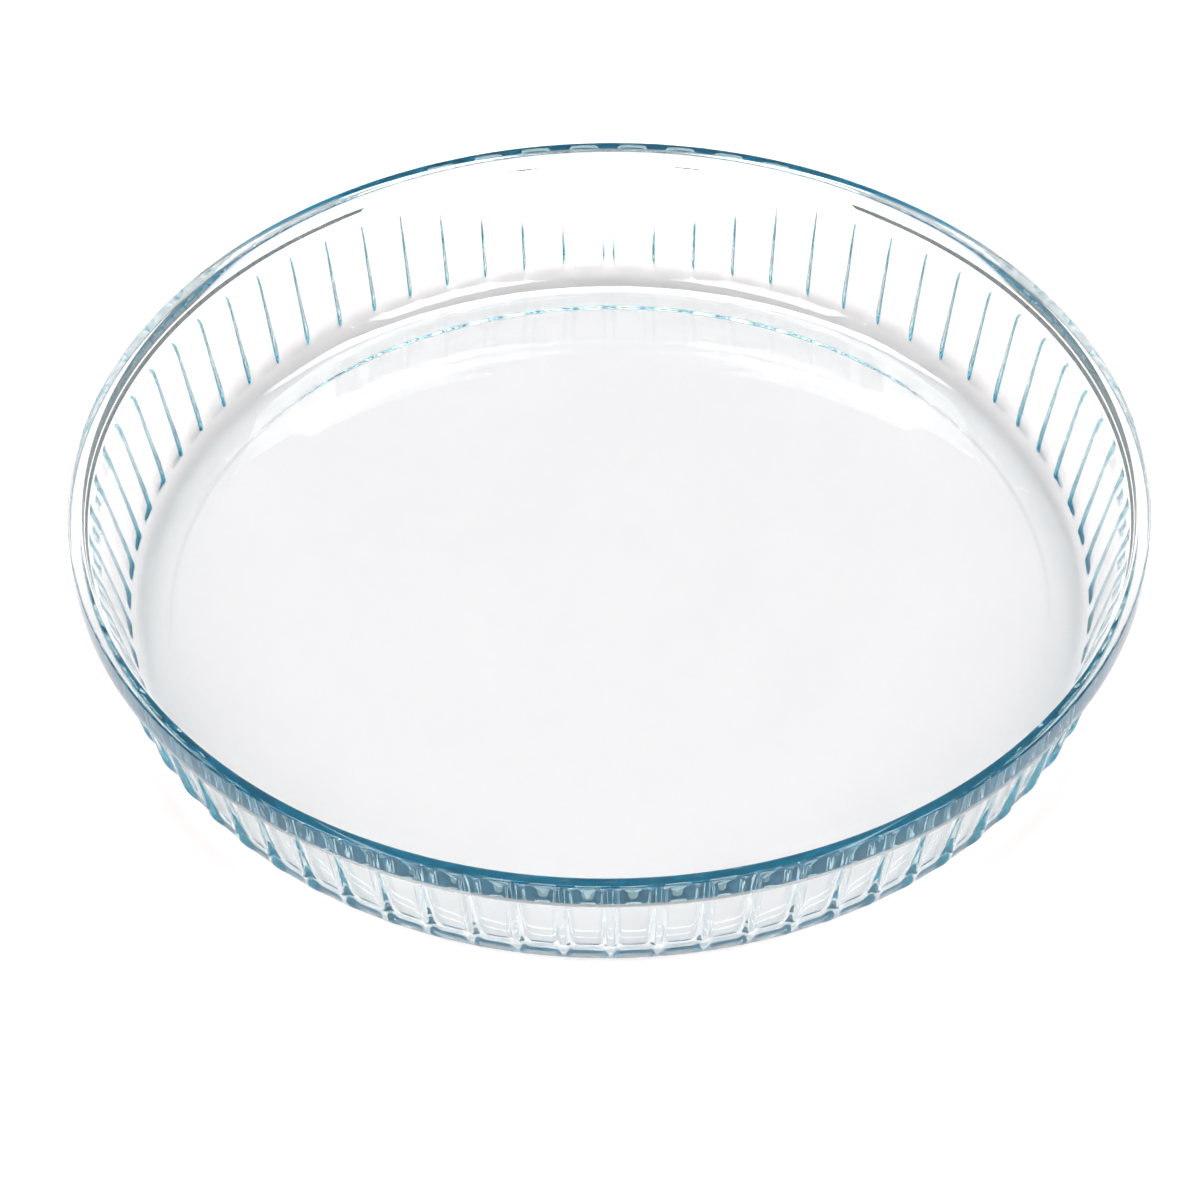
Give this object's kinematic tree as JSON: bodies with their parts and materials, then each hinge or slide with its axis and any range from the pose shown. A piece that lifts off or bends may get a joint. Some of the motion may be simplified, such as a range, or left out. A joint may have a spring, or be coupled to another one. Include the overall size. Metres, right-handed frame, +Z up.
{
  "type": "fluted flan dish",
  "caption": "Round shallow oven dish of clear pressed glass with a fluted leaning wall, a smooth inside and a plain overhanging rim collar.",
  "frame": {"origin": "centre of the flat underside that the dish stands on", "axes": "+Z up along the dish's axis of revolution; a ridge of the fluting lies on the X and Y axes"},
  "size_m": [0.28, 0.28, 0.0426],
  "materials": {
    "clear_glass": "fire-polished clear oven glass with a faint blue-green tint along its edges"
  },
  "bodies": {
    "root": {"fluted_dish": "clear_glass"}
  },
  "joints": []
}
